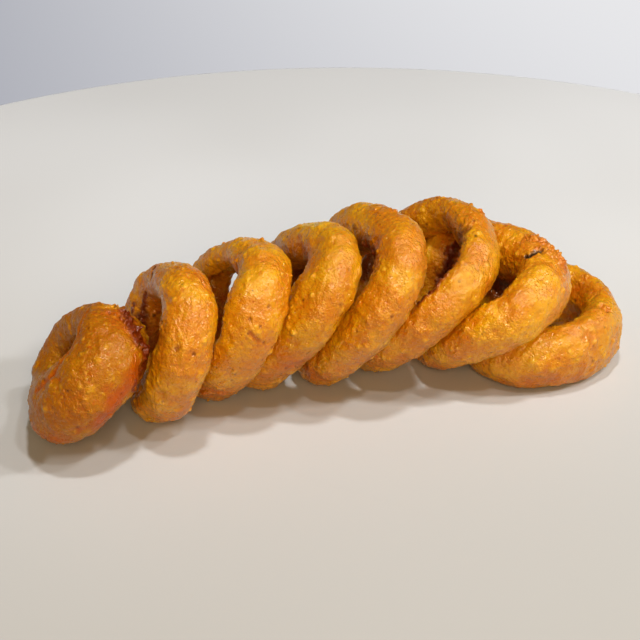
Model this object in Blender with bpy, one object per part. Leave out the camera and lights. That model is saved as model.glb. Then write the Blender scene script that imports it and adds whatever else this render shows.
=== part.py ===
"""A side of battered onion rings: eight fried rings leaning on each other in a row.

The last ring lies flat on the table. Each of the others stands on its edge, leaning over
the next one towards +X, so the row is fanned like fallen dominoes. The row runs along X,
Z is up, and the origin is under the middle of the row, on the table.
"""
import math
from dataclasses import dataclass

import bpy
from mathutils import Euler, Vector, noise
from mathutils.bvhtree import BVHTree

MM = 0.001

# How finely each ring is faceted.
STEPS_ROUND_RING = 44
STEPS_ROUND_DOUGH = 14

# The batter is lumpy: gentle swellings a finger's width apart.
LUMP_SPACING = 14 * MM
LUMP_HEIGHT = 1.1 * MM
LUMP_SHIFT = Vector((3.7, 1.9, 0))

# A small turn either way, to see which way a ring's middle line runs.
LITTLE_TURN = 1e-4

# Neighbouring rings stay this far apart where they lean on each other.
CONTACT_GAP = 0.4 * MM
CONTACT_TOLERANCE = 0.01 * MM

# A standing ring is pressed flat this far up where it meets the table.
EDGE_FLAT = 1.2 * MM


@dataclass(frozen=True)
class Ring:
    """One ring: lengths in millimetres, angles in degrees.

    lean is the tilt of the ring's face from upright, so 90 lies flat. turn swings its face
    round towards +Y. radius is the middle line's, half_wall and half_height are the dough's
    half thickness across and along the ring's axis. The rest make the ring uneven, each an
    amount as a share and the direction round the ring, from its top, where it is greatest.
    """
    across: float
    lean: float
    turn: float
    radius: float
    half_wall: float
    half_height: float
    oval: tuple = (0, 0)
    three_sided: tuple = (0, 0)
    thick_side: tuple = (0, 0)
    tall_side: tuple = (0, 0)
    warp: tuple = (0, 0)
    flat: float = EDGE_FLAT
    colour: tuple = (0.55, 0.23, 0.03)


RINGS = (
    Ring(across=-8.5, lean=37, turn=-13, radius=16.8, half_wall=10.8, half_height=13.1,
         oval=(0.15, 130), three_sided=(0.05, 10), thick_side=(0.32, 250),
         tall_side=(0.04, 350), warp=(0.07, 70), colour=(0.50, 0.20, 0.03)),
    Ring(across=-4, lean=16, turn=-2, radius=23, half_wall=8.7, half_height=8.9,
         oval=(0.11, 118), three_sided=(0.05, 78), thick_side=(0.20, 240),
         tall_side=(0.10, 280), colour=(0.52, 0.22, 0.04)),
    Ring(across=1.5, lean=26, turn=-3, radius=26, half_wall=6.6, half_height=9.9,
         oval=(0.13, 133), three_sided=(0.03, 70), thick_side=(0.19, 10),
         warp=(0.06, 93), colour=(0.58, 0.27, 0.05)),
    Ring(across=5, lean=29, turn=-10, radius=26, half_wall=9.2, half_height=8.9,
         oval=(0.13, 134), three_sided=(0.07, 87), thick_side=(0.30, 250),
         tall_side=(0.17, 230), warp=(0.10, 52), colour=(0.56, 0.24, 0.04)),
    Ring(across=2, lean=30, turn=-6, radius=28.2, half_wall=9.1, half_height=9.3,
         oval=(0.09, 128), three_sided=(0.05, 70), thick_side=(0.11, 300),
         tall_side=(0.05, 10), warp=(0.05, 55), colour=(0.60, 0.27, 0.05)),
    Ring(across=3.5, lean=45, turn=-6, radius=30.9, half_wall=6.2, half_height=8.3,
         three_sided=(0.02, 42), thick_side=(0.08, 156), warp=(0.10, 77),
         colour=(0.55, 0.23, 0.03)),
    Ring(across=-3.5, lean=52, turn=-6, radius=26.4, half_wall=8.8, half_height=9.9,
         oval=(0.10, 118), thick_side=(0.08, 34), tall_side=(0.21, 355), warp=(0.15, 74),
         colour=(0.60, 0.25, 0.04)),
    Ring(across=-7, lean=90, turn=-1, radius=23.2, half_wall=9.6, half_height=13.2,
         oval=(0.08, 48), three_sided=(0.05, 86), thick_side=(0.16, 165),
         tall_side=(0.10, 50), flat=3.2 * MM, colour=(0.58, 0.27, 0.05)),
)


def swing(share, times, angle):
    """A swelling that comes round a number of times, greatest in the share's direction."""
    amount, direction = share
    return amount * math.cos(times * (angle - math.radians(direction)))


def outline_radius(ring, angle):
    """Radius of the middle line of the dough at an angle round the ring."""
    return ring.radius * MM * (1 + swing(ring.oval, 2, angle) + swing(ring.three_sided, 3, angle))


def outline_normal(ring, angle):
    """Unit vector square to the middle line, in the ring's plane, pointing away from its hole."""
    before = outline_radius(ring, angle - LITTLE_TURN)
    after = outline_radius(ring, angle + LITTLE_TURN)
    slope = (after - before) / (2 * LITTLE_TURN) / outline_radius(ring, angle)
    outward = Vector((math.cos(angle), math.sin(angle), 0))
    along = Vector((-math.sin(angle), math.cos(angle), 0))
    return (outward - along * slope).normalized()


def dough_point(ring, angle, section_angle):
    """A point on the smooth dough, and the direction that it faces there."""
    half_wall = ring.half_wall * MM * (1 + swing(ring.thick_side, 1, angle))
    half_height = ring.half_height * MM * (1 + swing(ring.tall_side, 1, angle))
    outward = outline_normal(ring, angle)
    axis = Vector((0, 0, 1))
    radius = outline_radius(ring, angle)
    middle = Vector((radius * math.cos(angle), radius * math.sin(angle), 0))
    middle += axis * ring.radius * MM * swing(ring.warp, 2, angle)
    across = math.cos(section_angle)
    up = math.sin(section_angle)
    point = middle + outward * half_wall * across + axis * half_height * up
    facing = (outward * across / half_wall + axis * up / half_height).normalized()
    return point, facing


def shape_torus(ring, number, mesh):
    """Move each point of a plain torus onto the ring's uneven, lumpy dough."""
    own_lumps = LUMP_SHIFT * number
    for vertex in mesh.vertices:
        angle = math.atan2(vertex.co.y, vertex.co.x)
        section_angle = math.atan2(vertex.co.z, vertex.co.xy.length - ring.radius * MM)
        point, facing = dough_point(ring, angle, section_angle)
        lump = noise.noise(point / LUMP_SPACING + own_lumps) * LUMP_HEIGHT
        vertex.co = point + facing * lump


def press_flat(ring, mesh, rotation):
    """Flatten the lowest dough to a resting spot, and give the height that puts it at 0."""
    turned = rotation.to_matrix()
    lowest = min((turned @ vertex.co).z for vertex in mesh.vertices)
    table = lowest + ring.flat
    for vertex in mesh.vertices:
        placed = turned @ vertex.co
        if placed.z < table:
            placed.z = table
            vertex.co = turned.inverted() @ placed
    return -table


def fried_batter(number, colour):
    """Golden fried batter."""
    material = bpy.data.materials.new(f"fried_batter_{number}")
    material.diffuse_color = (*colour, 1)
    material.use_nodes = True
    shader = material.node_tree.nodes["Principled BSDF"]
    shader.inputs["Base Color"].default_value = (*colour, 1)
    shader.inputs["Roughness"].default_value = 0.45
    shader.inputs["Metallic"].default_value = 0
    return material


def make_ring(ring, number, serving):
    """Model one ring, standing or lying on the table at the middle of the row."""
    bpy.ops.mesh.primitive_torus_add(
        major_segments=STEPS_ROUND_RING,
        minor_segments=STEPS_ROUND_DOUGH,
        major_radius=ring.radius * MM,
        minor_radius=ring.half_wall * MM,
        generate_uvs=False,
    )
    piece = bpy.context.object
    piece.name = f"onion_ring_{number}"
    piece.parent = serving
    rotation = Euler((0, math.radians(ring.lean - 90), math.radians(ring.turn)))
    shape_torus(ring, number, piece.data)
    height = press_flat(ring, piece.data, rotation)
    piece.rotation_euler = rotation
    piece.location = (0, ring.across * MM, height)
    piece.data.materials.append(fried_batter(number, ring.colour))
    piece.data.shade_smooth()
    return piece


def world_points(piece):
    """Every point of a piece where it now stands."""
    place = piece.matrix_basis
    return [place @ vertex.co for vertex in piece.data.vertices]


def surface_tree(piece):
    """A search tree of a piece's surface where it now stands."""
    faces = [tuple(polygon.vertices) for polygon in piece.data.polygons]
    return BVHTree.FromPolygons(world_points(piece), faces)


def clearance(piece, neighbour):
    """The shortest way between two pieces that don't overlap."""
    neighbour_surface = surface_tree(neighbour)
    piece_surface = surface_tree(piece)
    there = min(neighbour_surface.find_nearest(point)[3] for point in world_points(piece))
    back = min(piece_surface.find_nearest(point)[3] for point in world_points(neighbour))
    return min(there, back)


def lean_against(piece, neighbour):
    """Slide a piece along +X until it leans on its neighbour, short of it by the gap."""
    reach = 2 * max(piece.dimensions)
    piece.location.x = neighbour.location.x - reach
    step = reach
    while step > CONTACT_TOLERANCE:
        step = clearance(piece, neighbour) - CONTACT_GAP
        piece.location.x += step


def centre_on_origin(pieces):
    """Move the whole row so that its footprint is centred on the origin."""
    points = [point for piece in pieces for point in world_points(piece)]
    for axis in range(2):
        low = min(point[axis] for point in points)
        high = max(point[axis] for point in points)
        for piece in pieces:
            piece.location[axis] -= (low + high) / 2


def build():
    """Make the rings, then lean each on the next, from the flat one back to the first."""
    for item in list(bpy.data.objects):
        bpy.data.objects.remove(item)
    serving = bpy.data.objects.new("serving", None)
    bpy.context.scene.collection.objects.link(serving)
    pieces = [make_ring(ring, number, serving) for number, ring in enumerate(RINGS, start=1)]
    bpy.context.view_layer.update()
    for piece, neighbour in zip(pieces[-2::-1], pieces[:0:-1]):
        lean_against(piece, neighbour)
    centre_on_origin(pieces)


build()
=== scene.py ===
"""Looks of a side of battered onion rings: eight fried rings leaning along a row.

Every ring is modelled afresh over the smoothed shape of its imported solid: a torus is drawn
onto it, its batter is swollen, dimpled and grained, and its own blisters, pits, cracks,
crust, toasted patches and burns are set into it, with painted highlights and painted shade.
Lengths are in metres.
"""
import math
import random

import bpy
import numpy as np
from mathutils import Matrix, Vector, noise


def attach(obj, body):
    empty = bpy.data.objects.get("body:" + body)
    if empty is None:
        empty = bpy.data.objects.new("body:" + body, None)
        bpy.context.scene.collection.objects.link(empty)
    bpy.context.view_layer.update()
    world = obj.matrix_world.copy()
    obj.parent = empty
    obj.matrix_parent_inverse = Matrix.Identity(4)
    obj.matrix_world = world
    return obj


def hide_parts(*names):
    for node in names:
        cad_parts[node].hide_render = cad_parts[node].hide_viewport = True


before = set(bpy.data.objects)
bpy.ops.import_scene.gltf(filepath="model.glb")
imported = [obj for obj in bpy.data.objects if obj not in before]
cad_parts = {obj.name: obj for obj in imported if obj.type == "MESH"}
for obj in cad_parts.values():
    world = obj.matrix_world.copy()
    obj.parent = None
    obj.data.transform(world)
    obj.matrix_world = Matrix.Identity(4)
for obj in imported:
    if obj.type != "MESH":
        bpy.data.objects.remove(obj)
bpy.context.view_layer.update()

MM = 0.001

# The camera stands in front of the row, turned a little to its left, and looks down on it.
CAMERA_TURN = math.radians(17.2)
CAMERA_RISE = math.radians(30)
CAMERA_DISTANCE = 0.640
CAMERA_LENS = 90
CAMERA_AIM = Vector((0.0092, 0.0406, 0))

# The round table top that the row stands on, and the floor of the room below it.
TABLE_RADIUS = 0.332
TABLE_CENTRE = Vector((0.008, -0.012))
TABLE_THICK = 0.012
TABLE_EDGE = 3 * MM
TABLE_DROP = 0.4 * MM
ROOM_SIZE = 60
ROOM_HEIGHT = -0.75

# Fineness of each ring's mesh: a coarse torus that is subdivided twice.
COARSE_ROUND_RING = 110
COARSE_ROUND_DOUGH = 56
FINE_LEVELS = 2
SOLID_LEVELS = 2
FIRST_DOUGH_RADIUS = 1 * MM
MERGE_DISTANCE = 0.01 * MM

# How often, and in how many steps, a ring's mesh is evened out along its solid, and the
# steps that smooth its swells.
EVENING_ROUNDS = 4
EVENING_STEPS = 12
LAST_STEPS = 6
SWELL_STEPS = 20

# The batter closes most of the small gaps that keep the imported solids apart.
GAP_FILL = 0.3 * MM


def linear(red, green, blue):
    """A colour given as it is seen, 0 to 255, as the linear values that shaders take."""
    parts = [value / 255 for value in (red, green, blue)]
    return tuple(((v + 0.055) / 1.055) ** 2.4 if v > 0.04045 else v / 12.92 for v in parts)


# Painted shade on the table: warmer and darker at the front, lighter at the back.
TABLE_FRONT_SHADE = linear(177, 176, 173)
TABLE_BACK_LIT = linear(236, 239, 243)
# The room's glow, with painted shade to the left and painted light to the right.
ROOM_SHADED = linear(112, 116, 132)
ROOM_LIT = linear(216, 216, 218)
ROOM_DARK = (0.02, 0.02, 0.02)

# The warm, weak light that the room sends back from all round.
SKY_GLOW = (1.0, 0.82, 0.60)
SKY_STRENGTH = 0.12

GOLD = linear(218, 158, 6)
AMBER = linear(204, 130, 2)
# Tan is the colour of the batter's pale flecks, and of the painted light and highlights.
TAN = linear(240, 190, 46)
# The toasted colour serves for toasted batter, and also for painted shade in crevices,
# recesses, creases and holes.
TOASTED_AND_SHADE = linear(180, 84, 3)
BROWNED = linear(154, 92, 2)
# The burned colour serves for burned batter, and also for painted shade in pits and inside the
# holes.
BURNT_AND_SHADE = linear(98, 30, 5)
CHAR = linear(30, 14, 8)

# How much browner than gold each ring is fried all over. Ring 1's large share also stands in
# for shade: it darkens that whole ring as painted shade.
BROWNING_AND_SHADE = {1: 0.75, 2: 0.05, 3: 0.0, 4: 0.15, 5: 0.05, 6: 0.12, 7: 0.0, 8: 0.12}

# The marks on each ring, as (kind, width in mm, height in mm, places). A place is two angles
# in degrees: round the ring from its top, and round the dough from its outside, where a
# positive angle is on the face that looks up along the row. Several places make a line.
MARKS = {
    1: (
        ("crease", 2.2, -1.0, (0, 80), (-30, 88), (-60, 85), (-90, 83), (-115, 85)),
        ("ridge", 2.6, 1.0, (16, 18), (4, 12), (-6, -2)),
        ("crust", 3.2, 1.3, (2, 6), (-8, -4), (-16, -16), (-20, -32), (-22, -46)),
        ("crust", 2.4, 1.0, (-10, 4), (-18, -6), (-26, -20)),
        ("crust", 1.8, 0.8, (-26, -38), (-34, -50)),
        ("burn", 3.5, 0, (-30, -52), (-40, -52)),
        ("crust", 1.6, 0.6, (-50, -48), (-56, -52)),
        # Painted orange glow where light shines through the thin batter at the lower right.
        ("glow", 5.5, 0, (-44, -38), (-60, -38), (-78, -34), (-92, -34)),
        ("toast", 6, 0, (-118, -5), (-140, 10)),
        ("toast", 5, 0, (-5, 25), (-16, 5)),
        ("crumb", 1.5, 0.5, (25, 30)),
        # Painted light on the top of the ring.
        ("bleach", 7, 0, (20, 14), (45, 20), (70, 20)),
        ("crumb", 1.5, 0.8, (-4, 40)),
        ("pit", 1.3, -0.7, (180, 108)),
        ("speck", 0.6, 0, (-16, 66)),
        ("speck", 0.7, 0, (120, 70)),
        ("speck", 0.6, 0, (-80, 34)),
        ("blister", 2.4, 0.6, (-70, 10)),
        ("blister", 1.8, 0.5, (-52, 22)),
    ),
    2: (
        ("crack", 1.1, -0.9, (45, 64), (42, 70), (38, 80)),
        ("crack", 1.0, -0.9, (32, 96), (29, 104), (28, 112)),
        ("toast", 4, 0, (45, 60), (30, 95), (20, 120)),
        # Inside the hole, the toasting and the burned patch are painted shade; the crust is
        # the batter's own.
        ("toast", 8, 0, (85, 150), (110, 150), (130, 160)),
        ("crust", 1.6, 0.6, (60, 130), (88, 140), (110, 150)),
        ("crust", 1.0, 0.5, (84, 112), (92, 118)),
        ("burn", 3.0, 0, (90, 150), (100, 130)),
        ("speck", 0.9, 0, (88, 165)),
        ("pit", 1.3, -0.6, (-69, 27)),
        ("pit", 1.1, -0.5, (-70, -3)),
        ("blister", 1.5, 0.6, (-62, -20)),
        ("crease", 0.8, -0.35, (-12, -20), (-20, -30), (-28, -44)),
        ("crease", 0.8, -0.35, (-16, -8), (-24, -18), (-32, -30)),
        ("toast", 4, 0, (-115, -32), (-130, -25)),
    ),
    3: (
        ("crease", 1.2, -0.7, (-70, 24), (-72, 10), (-73, 2)),
        ("blister", 1.4, 0.4, (-66, 16)),
        ("crumb", 2.0, 0.7, (-147, 40)),
        ("crumb", 2.0, 0.8, (-134, -55)),
        ("crumb", 1.5, 0.8, (7, -2)),
        ("toast", 6, 0, (-147, 35), (-130, -30)),
    ),
    4: (
        ("blister", 1.7, 0.8, (-49, 38)),
        ("blister", 1.9, 0.8, (-84, 31)),
        ("blister", 1.5, 0.6, (-60, 28)),
        # Painted light on the top of the ring.
        ("bleach", 8, 0, (5, 40), (30, 40), (50, 40)),
        ("speck", 0.7, 0, (33, 118)),
        ("speck", 0.7, 0, (-64, 43)),
        ("toast", 7, 0, (-126, 20), (-100, -20)),
        # Painted shade on the far wall inside the hole.
        ("burn", 7, 0, (75, -160), (100, -170)),
    ),
    5: (
        ("speck", 0.9, 0, (-50, 66)),
        ("speck", 0.7, 0, (-53, 60)),
        ("crust", 1.8, 0.8, (-1, 149), (-20, 140), (-40, 125)),
        # Painted shade in the dark pocket inside the hole.
        ("burn", 5, 0, (34, 174), (0, 150), (-25, 140)),
        ("crumb", 2.2, 0.9, (4, 10)),
        ("toast", 5, 0, (-150, 50), (-135, 10)),
    ),
    6: (
        ("crumb", 1.3, 1.3, (8, 0)),
        ("crumb", 1.2, 0.9, (20, 5)),
        ("speck", 0.8, 0, (-22, 56)),
        ("pit", 0.9, -0.6, (-60, 53)),
        ("blister", 1.6, 0.7, (-98, 18)),
        ("blister", 1.6, 0.7, (-114, 32)),
        ("crust", 1.8, 0.8, (-30, 125), (-50, 108), (-72, 92), (-85, 92)),
        # Painted shade on the walls inside the hole.
        ("burn", 5, 0, (-12, 130), (-20, 150), (-45, 140), (-65, 130)),
        ("burn", 5, 0, (108, 120), (120, 128)),
        ("toast", 5, 0, (-140, 20), (-115, -30)),
    ),
    7: (
        ("char", 1.7, -0.8, (-18, 94), (-20, 84), (-18, 72), (-16, 60), (-15, 50)),
        ("ridge", 2.6, 1.0, (4, 60), (0, 30), (-8, 2), (-18, -14)),
        ("ridge", 2.0, 0.8, (-10, 50), (-12, 25), (-22, 5)),
        ("toast", 6, 0, (4, 40), (-10, 5), (-20, -20)),
        ("crumb", 2.0, 0.9, (-165, 20)),
        ("toast", 8, 0, (-165, 30), (-150, -10)),
        # Painted shade on the wall inside the hole.
        ("burn", 7, 0, (40, 170), (60, 170)),
        # Painted light on the part of ring 7 that shows through ring 6's hole.
        ("pale", 4.5, 0, (91, 90), (100, 92), (108, 100)),
        ("crust", 2.2, 0.9, (72, 112), (81, 117), (92, 130), (104, 137), (116, 140)),
        # Painted shade along the crust inside the hole.
        ("burn", 3.5, 0, (72, 116), (81, 121), (92, 133), (104, 140)),
    ),
    8: (
        # Painted shade where ring 8 lies under ring 7.
        ("burn", 9, 0, (134, 113), (150, 110)),
        ("crease", 1.4, -0.8, (-34, 84), (-38, 78), (-42, 84), (-40, 92), (-36, 92)),
        ("blister", 2.2, 0.8, (-120, 20)),
        ("blister", 2.4, 0.7, (-70, 75)),
        ("blister", 1.6, 0.7, (-95, 40)),
        ("blister", 1.6, 0.6, (-80, 50)),
        ("toast", 7, 0, (-88, -40), (-120, -35)),
        ("toast", 5, 0, (15, 110), (25, 130)),
        ("crumb", 1.6, 0.8, (-166, -30)),
    ),
}

# Where the dough is fuller or thinner than its solid, inside the holes: width and height in
# mm, and the place.
SWELLS_IN_HOLES = {
    2: ((14, 3.0, (85, 140)), (12, 2.5, (105, 118))),
    3: ((15, -4.0, (35, 180)), (12, -6.0, (80, -150)), (12, -7.5, (73, -135)),
        (10, -5.5, (88, -175)), (11, 4.5, (116, -114)), (14, 4.6, (-49, 110))),
    4: ((14, 3.0, (-50, 130)), (15, 4.0, (75, -140)), (14, 3.5, (115, 90))),
    6: ((14, 2.0, (0, 180)),),
    7: ((17, 5.8, (102, 90)), (13, 2.0, (45, -150))),
    8: ((10, -3.0, (17, -160)),),
}

# How many small marks are scattered on each ring: kind, number, least and greatest width
# and height in mm.
SCATTER = (
    ("blister", 120, 0.6, 1.7, 0.20, 0.60),
    ("crumb", 30, 0.5, 1.0, 0.20, 0.50),
    ("pit", 55, 0.4, 1.0, -0.15, -0.50),
    ("speck", 12, 0.25, 0.5, 0.0, 0.0),
)


# ---------------------------------------------------------------- small helpers

def only(piece):
    """Select one object, and nothing else, and make it active."""
    bpy.ops.object.select_all(action="DESELECT")
    piece.select_set(True)
    bpy.context.view_layer.objects.active = piece


def applied(piece, kind, **settings):
    """Add a modifier with these settings and apply it."""
    only(piece)
    modifier = piece.modifiers.new(kind.lower(), kind)
    for setting, value in settings.items():
        setattr(modifier, setting, value)
    bpy.ops.object.modifier_apply(modifier=modifier.name)


def points_of(piece):
    """The piece's points as an array."""
    flat = np.empty(len(piece.data.vertices) * 3)
    piece.data.vertices.foreach_get("co", flat)
    return flat.reshape(-1, 3)


def normals_of(piece):
    """The directions that the piece's points face, as an array."""
    flat = np.empty(len(piece.data.vertices) * 3)
    piece.data.vertices.foreach_get("normal", flat)
    return flat.reshape(-1, 3)


def set_points(piece, points):
    """Move the piece's points."""
    piece.data.vertices.foreach_set("co", np.ascontiguousarray(points).ravel())
    piece.data.update()


def paint(piece, name, values):
    """Store one number for each point of the piece, for its material to read."""
    layer = piece.data.attributes.new(name, "FLOAT", "POINT")
    layer.data.foreach_set("value", np.clip(values, 0, 1).astype(np.float32))


# ---------------------------------------------------------------- the rings' shape

# A ring lies flat when the sine of its axis's angle from upright is below this.
FLAT = 0.2


class Face:
    """Where a ring is: its centre, its axis, and the way to its top, read from its solid.

    A ring that lies flat has no top, so its angles start from the +X side.
    """

    def __init__(self, points):
        self.centre = points.mean(axis=0)
        spread = np.linalg.svd(points - self.centre, full_matrices=False)[2]
        # The points spread least along the axis, which is taken the way that it looks up.
        axis = spread[2] * np.sign(spread[2][2])
        up = np.array([0, 0, 1.0]) - axis * axis[2]
        if np.linalg.norm(up) < FLAT:
            up = np.array([1.0, 0, 0]) - axis * axis[0]
        self.axis = axis
        self.top = up / np.linalg.norm(up)
        self.side = np.cross(self.axis, self.top)
        self.radius = np.linalg.norm(np.cross(points - self.centre, self.axis), axis=1).mean()

    def matrix(self):
        """The place and turn of a torus that fits the ring."""
        turn = Matrix((self.top, self.side, self.axis)).transposed().to_4x4()
        return Matrix.Translation(Vector(self.centre)) @ turn

    def angles(self, points):
        """For each point, its angle round the ring from the top, and round the dough."""
        from_centre = points - self.centre
        out = from_centre @ self.top
        across = from_centre @ self.side
        height = from_centre @ self.axis
        return np.arctan2(across, out), np.arctan2(height, np.hypot(out, across) - self.radius)


def smoothed_solid(node):
    """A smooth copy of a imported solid, to draw the finer ring onto."""
    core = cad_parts[node].copy()
    core.data = core.data.copy()
    core.name = "core_" + node
    bpy.context.scene.collection.objects.link(core)
    core.hide_render = False
    only(core)
    bpy.ops.object.mode_set(mode="EDIT")
    bpy.ops.mesh.select_all(action="SELECT")
    bpy.ops.mesh.remove_doubles(threshold=MERGE_DISTANCE)
    bpy.ops.mesh.tris_convert_to_quads(face_threshold=math.pi, shape_threshold=math.pi)
    bpy.ops.object.mode_set(mode="OBJECT")
    applied(core, "SUBSURF", levels=SOLID_LEVELS, render_levels=SOLID_LEVELS)
    return core


def drawn_ring(node, core, face):
    """A fine, even torus drawn onto the smooth solid."""
    bpy.ops.mesh.primitive_torus_add(
        major_segments=COARSE_ROUND_RING,
        minor_segments=COARSE_ROUND_DOUGH,
        major_radius=face.radius,
        minor_radius=FIRST_DOUGH_RADIUS,
        generate_uvs=True,
    )
    ring = bpy.context.object
    ring.name = node.replace("onion_ring", "fried_ring")
    ring.data.transform(face.matrix())
    ring.data.update()
    applied(ring, "SHRINKWRAP", target=core, wrap_method="PROJECT",
            use_positive_direction=True, use_negative_direction=False)
    for _ in range(EVENING_ROUNDS):
        applied(ring, "SMOOTH", factor=0.5, iterations=EVENING_STEPS)
        applied(ring, "SHRINKWRAP", target=core, wrap_method="NEAREST_SURFACEPOINT")
    applied(ring, "SUBSURF", levels=FINE_LEVELS, render_levels=FINE_LEVELS)
    applied(ring, "SHRINKWRAP", target=core, wrap_method="NEAREST_SURFACEPOINT")
    applied(ring, "SMOOTH", factor=0.5, iterations=LAST_STEPS)
    return ring


def relief_texture(name, kind, **settings):
    """A procedural texture for a Displace modifier."""
    texture = bpy.data.textures.new(name, kind)
    for setting, value in settings.items():
        setattr(texture, setting, value)
    return texture


# The relief that covers every ring, from the broadest to the finest, with its height.
RELIEF = (
    (relief_texture("swells", "CLOUDS", noise_scale=9 * MM, noise_depth=1), 1.7 * MM),
    (relief_texture("dimples", "CLOUDS", noise_scale=4 * MM, noise_depth=2), 0.9 * MM),
    (relief_texture("wrinkles", "CLOUDS", noise_scale=2.4 * MM, noise_depth=2,
                    noise_type="HARD_NOISE"), 0.30 * MM),
    (relief_texture("bubbles", "VORONOI", noise_scale=2.2 * MM, noise_intensity=1.2),
     -0.32 * MM),
    (relief_texture("grain", "CLOUDS", noise_scale=1.1 * MM, noise_depth=2), 0.22 * MM),
)


def cover_with_batter(ring):
    """Swell, dimple, wrinkle and grain the batter all over."""
    for texture, height in RELIEF:
        applied(ring, "DISPLACE", texture=texture, texture_coords="LOCAL",
                direction="NORMAL", mid_level=0.5, strength=height)


def ragged(points, size):
    """Uneven values from -1 to 1 over the points, with features of this size in metres."""
    return np.array([noise.noise(Vector(point) / size) for point in points])


# The kinds of mark with uneven outlines, and how coarsely their outlines wander, in mm.
UNEVENNESS = {"toast": 3.5, "burn": 3.5, "glow": 3.5, "bleach": 3.5, "crust": 1.7,
              "ridge": 1.2, "crumb": 1.2, "char": 1.2}

# How strongly an uneven outline wanders, and how many times its width it can reach.
WANDERING = 0.9
UNEVEN_REACH = 1.9

# Crust and ridges are broken up: the share of their height that is even, and how much the
# unevenness adds to it or takes away.
EVEN_HEIGHT = 0.35
BROKEN_HEIGHT = 1.6

# Paint fades more slowly than relief towards a mark's edge.
PAINT_FADE = 0.6

# How many steps a line takes from one of its places to the next.
LINE_STEPS = 8

# A degree round the ring is about this many times as long as one round the dough.
ALONG_RING = 2.5

# The paint that each kind of mark leaves, and how strong it is. The pale paint is painted
# light;
# part of the toasting paint and of the burned paint is painted shade.
PAINT_LEFT = {
    # Painted light on a part of a ring that is lit.
    "pale": (("pale", 0.7),),
    # Painted light on the tops of rings.
    "bleach": (("pale", 0.7),),
    # Painted orange glow, where light shines through the thin batter.
    "glow": (("toast", 0.9), ("burnt_and_shade", 0.05)),
    # Blisters get a painted highlight.
    "blister": (("pale", 0.35),),
    "crumb": (("toast", 0.4),),
    # Pits get painted shade.
    "pit": (("burnt_and_shade", 0.6),),
    "speck": (("char", 0.9),),
    "crack": (("burnt_and_shade", 0.9), ("char", 0.5)),
    # Creases get painted shade.
    "crease": (("toast", 0.7),),
    "crust": (("burnt_and_shade", 0.85), ("toast", 0.9)),
    "ridge": (("toast", 0.4),),
    # Toasting at the edges of the rings; inside ring 2's hole it is painted shade.
    "toast": (("toast", 0.5),),
    # Burned batter on ring 1; painted shade on the walls inside the other rings' holes.
    "burn": (("burnt_and_shade", 0.85),),
    "char": (("char", 1.0),),
}


class Skin:
    """The ring's surface while marks are set into it, and the paint that they leave."""

    # Pale paint is painted light and highlight; the toasting and burned paints are painted
    # shade in places.
    PAINTS = ("pale", "toast", "burnt_and_shade", "char")

    def __init__(self, ring, face):
        self.points = points_of(ring)
        self.normals = normals_of(ring)
        self.round, self.dough = (np.degrees(a) for a in face.angles(self.points))
        self.move = np.zeros(len(self.points))
        self.paints = {name: np.zeros(len(self.points)) for name in self.PAINTS}

    def spot(self, place):
        """The point of the surface at a place given by its two angles."""
        off_round = (self.round - place[0] + 180) % 360 - 180
        off_dough = (self.dough - place[1] + 180) % 360 - 180
        return self.points[np.argmin((ALONG_RING * off_round) ** 2 + off_dough ** 2)]

    def line(self, places):
        """Points of the surface along a line through the places."""
        spots = [self.spot(places[0])]
        for start, end in zip(places, places[1:]):
            for share in np.linspace(0, 1, LINE_STEPS + 1)[1:]:
                turn = [(e - s + 180) % 360 - 180 for s, e in zip(start, end)]
                spots.append(self.spot([s + t * share for s, t in zip(start, turn)]))
        return spots

    def add(self, kind, width, height, spots):
        """Set one mark into the surface at these spots."""
        width *= MM
        apart = np.full(len(self.points), 1.0)
        for spot in spots:
            apart = np.minimum(apart, np.linalg.norm(self.points - spot, axis=1))
        outline = UNEVENNESS.get(kind)
        near = np.flatnonzero(apart < width * (UNEVEN_REACH if outline else 1))
        apart = apart[near] / width
        if outline:
            uneven = ragged(self.points[near], outline * MM)
            apart = apart * (1 - WANDERING * uneven)
        share = np.clip(1 - apart ** 2, 0, 1) ** 2
        if kind in ("crust", "ridge"):
            self.move[near] += height * MM * share * (EVEN_HEIGHT + BROKEN_HEIGHT * uneven)
        else:
            self.move[near] += height * MM * share
        for paint_name, strength in PAINT_LEFT.get(kind, ()):
            paint_layer = self.paints[paint_name]
            paint_layer[near] = np.maximum(paint_layer[near], share ** PAINT_FADE * strength)

    def done(self, ring):
        """Move the ring's points and store its paint."""
        set_points(ring, self.points + self.normals * self.move[:, None])
        for name, values in self.paints.items():
            paint(ring, name, values)


def swell_dough(ring, face, number):
    """Make the dough fuller or thinner at its places, and smooth it over."""
    skin = Skin(ring, face)
    for width, height, place in SWELLS_IN_HOLES.get(number, ()):
        skin.add("swell", width, height, [skin.spot(place)])
    set_points(ring, skin.points + skin.normals * skin.move[:, None])
    applied(ring, "SMOOTH", factor=0.5, iterations=SWELL_STEPS)


def set_marks(ring, face, number):
    """Set the ring's own marks, then scatter small ones all over it."""
    skin = Skin(ring, face)
    for kind, width, height, *places in MARKS[number]:
        skin.add(kind, width, height, skin.line(places))
    draw = random.Random(number)
    for kind, count, width_low, width_high, height_low, height_high in SCATTER:
        for _ in range(count):
            spot = skin.points[draw.randrange(len(skin.points))]
            skin.add(kind, draw.uniform(width_low, width_high),
                     draw.uniform(height_low, height_high), [spot])
    skin.done(ring)


def settle(ring):
    """Keep the ring on the table: what would sink into it is flattened on it."""
    points = points_of(ring)
    points[:, 2] = np.maximum(points[:, 2], 0)
    set_points(ring, points)


# ---------------------------------------------------------------- material

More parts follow.
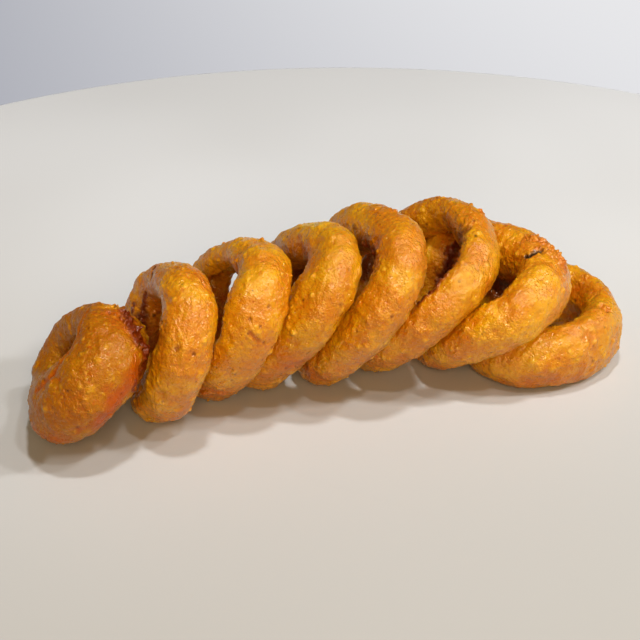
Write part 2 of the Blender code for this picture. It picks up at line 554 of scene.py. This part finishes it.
class Nodes:
    """A short way to lay out a material's nodes. Every pattern reads Object coordinates."""

    def __init__(self, name):
        self.material = bpy.data.materials.new(name)
        self.material.use_nodes = True
        self.tree = self.material.node_tree
        self.shader = self.tree.nodes["Principled BSDF"]

    def add(self, kind, **settings):
        """A new shader node with these settings."""
        node = self.tree.nodes.new("ShaderNode" + kind)
        for setting, value in settings.items():
            setattr(node, setting, value)
        return node

    def link(self, start, end):
        """Join an output to an input."""
        self.tree.links.new(start, end)

    def noise(self, scale, detail=2.0, rough=0.5, offset=0.0):
        """Noise from 0 to 1 with about this many features to the metre."""
        node = self.add("TexNoise")
        node.inputs["Scale"].default_value = scale
        node.inputs["Detail"].default_value = detail
        node.inputs["Roughness"].default_value = rough
        self.link(self.place(offset), node.inputs["Vector"])
        return node.outputs["Fac"]

    def place(self, offset):
        """The place on the piece, shifted so that no two pieces match."""
        mapping = self.add("Mapping")
        mapping.inputs["Location"].default_value = (offset, offset * 0.7, offset * 1.3)
        self.link(self.add("TexCoord").outputs["Object"], mapping.inputs["Vector"])
        return mapping.outputs["Vector"]

    def attribute(self, name):
        """The paint that the piece's mesh stores under this name."""
        return self.add("Attribute", attribute_name=name).outputs["Fac"]

    def ramp(self, value, low, high, start=0.0, end=1.0):
        """A smooth rise from start, where the value is low, to end, where it is high."""
        node = self.add("MapRange", interpolation_type="SMOOTHSTEP")
        node.inputs["From Min"].default_value = low
        node.inputs["From Max"].default_value = high
        node.inputs["To Min"].default_value = start
        node.inputs["To Max"].default_value = end
        self.link(value, node.inputs["Value"])
        return node.outputs["Result"]

    def math(self, operation, first, second):
        """A sum, product or the like of two values."""
        node = self.add("Math", operation=operation)
        for socket, value in zip(node.inputs, (first, second)):
            if isinstance(value, (int, float)):
                socket.default_value = value
            else:
                self.link(value, socket)
        return node.outputs["Value"]

    def mix(self, share, first, second):
        """The first colour, changing to the second as the share goes from 0 to 1."""
        node = self.add("Mix", data_type="RGBA")
        self.link(share, node.inputs["Factor"])
        for socket, value in ((node.inputs["A"], first), (node.inputs["B"], second)):
            if isinstance(value, tuple):
                socket.default_value = (*value, 1)
            else:
                self.link(value, socket)
        return node.outputs["Result"]

    def bump(self, height, distance, strength, below=None):
        """Fine relief of this height, on top of the relief below."""
        node = self.add("Bump")
        node.inputs["Strength"].default_value = strength
        node.inputs["Distance"].default_value = distance
        self.link(height, node.inputs["Height"])
        if below is not None:
            self.link(below, node.inputs["Normal"])
        return node.outputs["Normal"]


# Features to the metre of the batter's patterns, from broad patches to the finest grain.
PATCHES = 75
SMOOTH_PARTS = 90
BLOTCHES = 180
GLOSS = 500
FINE_GRAIN = 620
FLECKS = 750
FINEST_GRAIN = 1400


def browned(colour, browning_and_shade):
    """A batter colour moved this share of the way to well browned."""
    return tuple(part + (end - part) * browning_and_shade for part, end in zip(colour, BROWNED))


def batter_colour(nodes, offset, browning_and_shade):
    """Gold and amber patches, flecked and blotched, with painted shade in the grain's low
    parts and the recesses, and then the paints, which add painted light and shade as well as
    toasting and burns.
    """
    patches = nodes.ramp(nodes.noise(PATCHES, 3, 0.55, offset), 0.38, 0.62)
    colour = nodes.mix(patches, browned(GOLD, browning_and_shade), browned(AMBER, browning_and_shade))
    flecks = nodes.ramp(nodes.noise(FLECKS, 2, 0.6, offset + 1), 0.52, 0.75, end=0.32)
    colour = nodes.mix(flecks, colour, TAN)
    blotches = nodes.ramp(nodes.noise(BLOTCHES, 4, 0.6, offset + 2), 0.55, 0.75, end=0.22)
    colour = nodes.mix(blotches, colour, TOASTED_AND_SHADE)
    # Painted shade in the fine grain's low parts, where its bump sinks.
    crevice_shade = nodes.ramp(nodes.noise(FINE_GRAIN, 2, 0.5, offset), 0.44, 0.28, end=0.45)
    colour = nodes.mix(crevice_shade, colour, TOASTED_AND_SHADE)
    # Painted shade in the recesses of the relief.
    hollow_shade_share = nodes.ramp(nodes.attribute("hollow_shade"), 0.55, 1.0, end=0.40)
    colour = nodes.mix(hollow_shade_share, colour, TOASTED_AND_SHADE)
    # Then the paints: painted light, toasting and painted shade, burned patches and painted
    # shade, and char.
    for paint_name, paint_colour in (("pale", TAN), ("toast", TOASTED_AND_SHADE), ("burnt_and_shade", BURNT_AND_SHADE),
                                     ("char", CHAR)):
        colour = nodes.mix(nodes.attribute(paint_name), colour, paint_colour)
    return colour


def fried_batter(name, offset, browning_and_shade):
    """Golden fried batter, mottled, toasted in patches, with painted light and painted shade,
    and a thin sheen of oil.

    The browner a ring is fried, the duller is its oil.
    """
    nodes = Nodes(name)
    inputs = nodes.shader.inputs
    nodes.link(batter_colour(nodes, offset, browning_and_shade), inputs["Base Color"])
    rough = nodes.ramp(nodes.noise(GLOSS, 2, 0.5, offset + 3), 0.3, 0.7, 0.26, 0.46)
    nodes.link(rough, inputs["Roughness"])
    grainy = nodes.ramp(nodes.noise(SMOOTH_PARTS, 2, 0.5, offset + 4), 0.35, 0.65, 0.25, 1)
    grain = nodes.math("MULTIPLY", nodes.noise(FINE_GRAIN, 2, 0.5, offset), grainy)
    fine = nodes.bump(grain, 0.48 * MM, 1.0)
    finest = nodes.bump(nodes.noise(FINEST_GRAIN, 1, 0.5, offset), 0.42 * MM, 1.0, fine)
    nodes.link(finest, inputs["Normal"])
    nodes.link(finest, inputs["Coat Normal"])
    inputs["Subsurface Weight"].default_value = 0.25
    inputs["Subsurface Scale"].default_value = 1.2 * MM
    inputs["Subsurface Radius"].default_value = (1.0, 0.35, 0.08)
    inputs["Specular IOR Level"].default_value = 0.50 - 0.3 * browning_and_shade
    inputs["Specular Tint"].default_value = (1.0, 0.90, 0.75, 1)
    inputs["Coat Weight"].default_value = 1 - 0.6 * browning_and_shade
    inputs["Coat IOR"].default_value = 1.38
    inputs["Coat Roughness"].default_value = 0.18
    inputs["Coat Tint"].default_value = (1.0, 0.98, 0.92, 1)
    return nodes.material


# ---------------------------------------------------------------- making the rings

# The depth below the smooth dough, in metres, over which the painted shade in a recess goes
# fully dark.
HOLLOW_SHADE_DEPTH = 1.25 * MM

# How far each ring's patterns are shifted from the last ring's.
PATTERN_SHIFT = 0.1


def make_ring(number):
    """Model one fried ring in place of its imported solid."""
    node = f"onion_ring_{number}"
    core = smoothed_solid(node)
    face = Face(points_of(core))
    ring = drawn_ring(node, core, face)
    bpy.data.objects.remove(core)
    set_points(ring, points_of(ring) + normals_of(ring) * GAP_FILL)
    swell_dough(ring, face, number)
    smooth_points = points_of(ring)
    smooth_normals = normals_of(ring)
    cover_with_batter(ring)
    height = ((points_of(ring) - smooth_points) * smooth_normals).sum(axis=1)
    # Painted shade: the deeper a point lies below the smooth dough, the darker it is painted.
    paint(ring, "hollow_shade", 0.5 - height / (2 * HOLLOW_SHADE_DEPTH))
    set_marks(ring, face, number)
    settle(ring)
    only(ring)
    bpy.ops.object.shade_smooth()
    batter = fried_batter(f"fried_batter_{number}", number * PATTERN_SHIFT, BROWNING_AND_SHADE[number])
    ring.data.materials.clear()
    ring.data.materials.append(batter)
    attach(ring, "root")
    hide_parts(node)


for ring_number in MARKS:
    make_ring(ring_number)


# ---------------------------------------------------------------- table, room and light

# Where the table's painted shade starts and ends, along Y, and where the room's painted shade
# does, along X: first rightwards from its darkest part, and then to the far left.
TABLE_SHADE_FADE = (-0.25, 0.33)
ROOM_FADE_RIGHT = (-1.2, 1.6)
ROOM_FADE_LEFT = (-1.4, -5.0)

def table_material():
    """Painted board, the faintest bit mottled, with painted shade that makes it warmer and
    darker towards the front.
    """
    nodes = Nodes("table_white")
    spread = nodes.add("SeparateXYZ")
    nodes.link(nodes.place(0), spread.inputs["Vector"])
    # Painted shade, from the front to the back.
    share = nodes.ramp(spread.outputs["Y"], *TABLE_SHADE_FADE)
    mottle = nodes.ramp(nodes.noise(3, 2), 0.3, 0.7, 0, 0.3)
    colour = nodes.mix(mottle, nodes.mix(share, TABLE_FRONT_SHADE, TABLE_BACK_LIT), TABLE_FRONT_SHADE)
    nodes.link(colour, nodes.shader.inputs["Base Color"])
    nodes.shader.inputs["Roughness"].default_value = 0.6
    return nodes.material


def make_table():
    """The round table top, its edge rounded over."""
    bpy.ops.mesh.primitive_cylinder_add(
        vertices=256, radius=TABLE_RADIUS, depth=TABLE_THICK,
        location=(*TABLE_CENTRE, -TABLE_THICK / 2 - TABLE_DROP))
    table = bpy.context.object
    table.name = "table_top"
    applied(table, "BEVEL", width=TABLE_EDGE, segments=4, limit_method="ANGLE")
    only(table)
    bpy.ops.object.shade_smooth_by_angle(angle=math.radians(35))
    table.data.materials.append(table_material())


def room_material():
    """Pale grey and lit from within as painted light, with painted shade that makes it darkest
    a little to the left.
    """
    nodes = Nodes("room_grey")
    spread = nodes.add("SeparateXYZ")
    nodes.link(nodes.place(0), spread.inputs["Vector"])
    rightwards = nodes.ramp(spread.outputs["X"], *ROOM_FADE_RIGHT)
    far_left = nodes.ramp(spread.outputs["X"], *ROOM_FADE_LEFT)
    share = nodes.math("MAXIMUM", rightwards, far_left)
    nodes.link(nodes.mix(share, ROOM_SHADED, ROOM_LIT), nodes.shader.inputs["Emission Color"])
    nodes.shader.inputs["Base Color"].default_value = (*ROOM_DARK, 1)
    nodes.shader.inputs["Specular IOR Level"].default_value = 0
    nodes.shader.inputs["Emission Strength"].default_value = 1
    return nodes.material


def make_backdrop():
    """A wide pale sheet below the table, which fills the view behind it."""
    bpy.ops.mesh.primitive_plane_add(size=ROOM_SIZE, location=(0, 0, ROOM_HEIGHT))
    sheet = bpy.context.object
    sheet.name = "room_floor"
    sheet.data.materials.append(room_material())


UP = Vector((0, 0, 1))

# The point inside the row that every light is aimed at.
LIT_POINT = Vector((0, 0, 0.03))

WHITE = (0.98, 0.98, 0.98)
COOL = (0.98, 0.99, 1)
WARM = (1, 0.78, 0.50)

# Each light's name, its direction from the row, how far away it is, how wide it is, its
# watts and its colour. The small ones cast the shadows and the wide one softens them.
LIGHTS = (
    ("right_light", (0.76, -0.32, 0.60), 1.1, 0.10, 4.1, WHITE),
    ("high_right_light", (0.42, -0.30, 0.88), 1.2, 0.08, 2.1, COOL),
    ("high_front_light", (0.14, -0.48, 0.90), 1.2, 0.08, 2.1, COOL),
    ("high_light", (0.02, -0.10, 1.00), 1.2, 0.10, 4.9, COOL),
    ("front_fill", (-0.20, -0.86, 0.46), 1.5, 0.6, 9.4, WARM),
)


def soft_light(name, towards, away, size, watts, colour):
    """A square studio light in this direction from the row, aimed at it."""
    towards = Vector(towards).normalized()
    lamp = bpy.data.lights.new(name, "AREA")
    lamp.size = size
    lamp.energy = watts
    lamp.color = colour
    holder = bpy.data.objects.new(name, lamp)
    holder.location = LIT_POINT + towards * away
    holder.rotation_euler = towards.to_track_quat("Z", "Y").to_euler()
    bpy.context.scene.collection.objects.link(holder)


def pale_world():
    """A room that looks pale grey and sends a weak, warm light back onto the rings."""
    world = bpy.data.worlds.new("pale_room")
    world.use_nodes = True
    tree = world.node_tree
    seen = tree.nodes.new("ShaderNodeLightPath")
    tint = tree.nodes.new("ShaderNodeMix")
    tint.data_type = "RGBA"
    tint.inputs["A"].default_value = (*(SKY_STRENGTH * part for part in SKY_GLOW), 1)
    tint.inputs["B"].default_value = (*ROOM_LIT, 1)
    tree.links.new(seen.outputs["Is Camera Ray"], tint.inputs["Factor"])
    tree.links.new(tint.outputs["Result"], tree.nodes["Background"].inputs["Color"])
    return world


def light_the_room():
    """Put up the lights, and show their strength plainly with a little more contrast."""
    for light in LIGHTS:
        soft_light(*light)
    scene = bpy.context.scene
    scene.world = pale_world()
    scene.view_settings.view_transform = "Standard"
    scene.view_settings.look = "Medium High Contrast"


def set_camera():
    """Look down on the row from its front left."""
    level = Vector((-math.sin(CAMERA_TURN), -math.cos(CAMERA_TURN), 0)) * math.cos(CAMERA_RISE)
    away = level + UP * math.sin(CAMERA_RISE)
    camera = bpy.data.cameras.new("camera")
    camera.lens = CAMERA_LENS
    holder = bpy.data.objects.new("camera", camera)
    holder.location = CAMERA_AIM + away * CAMERA_DISTANCE
    holder.rotation_euler = (-away).to_track_quat("-Z", "Y").to_euler()
    bpy.context.scene.collection.objects.link(holder)
    bpy.context.scene.camera = holder


make_table()
make_backdrop()
light_the_room()
set_camera()
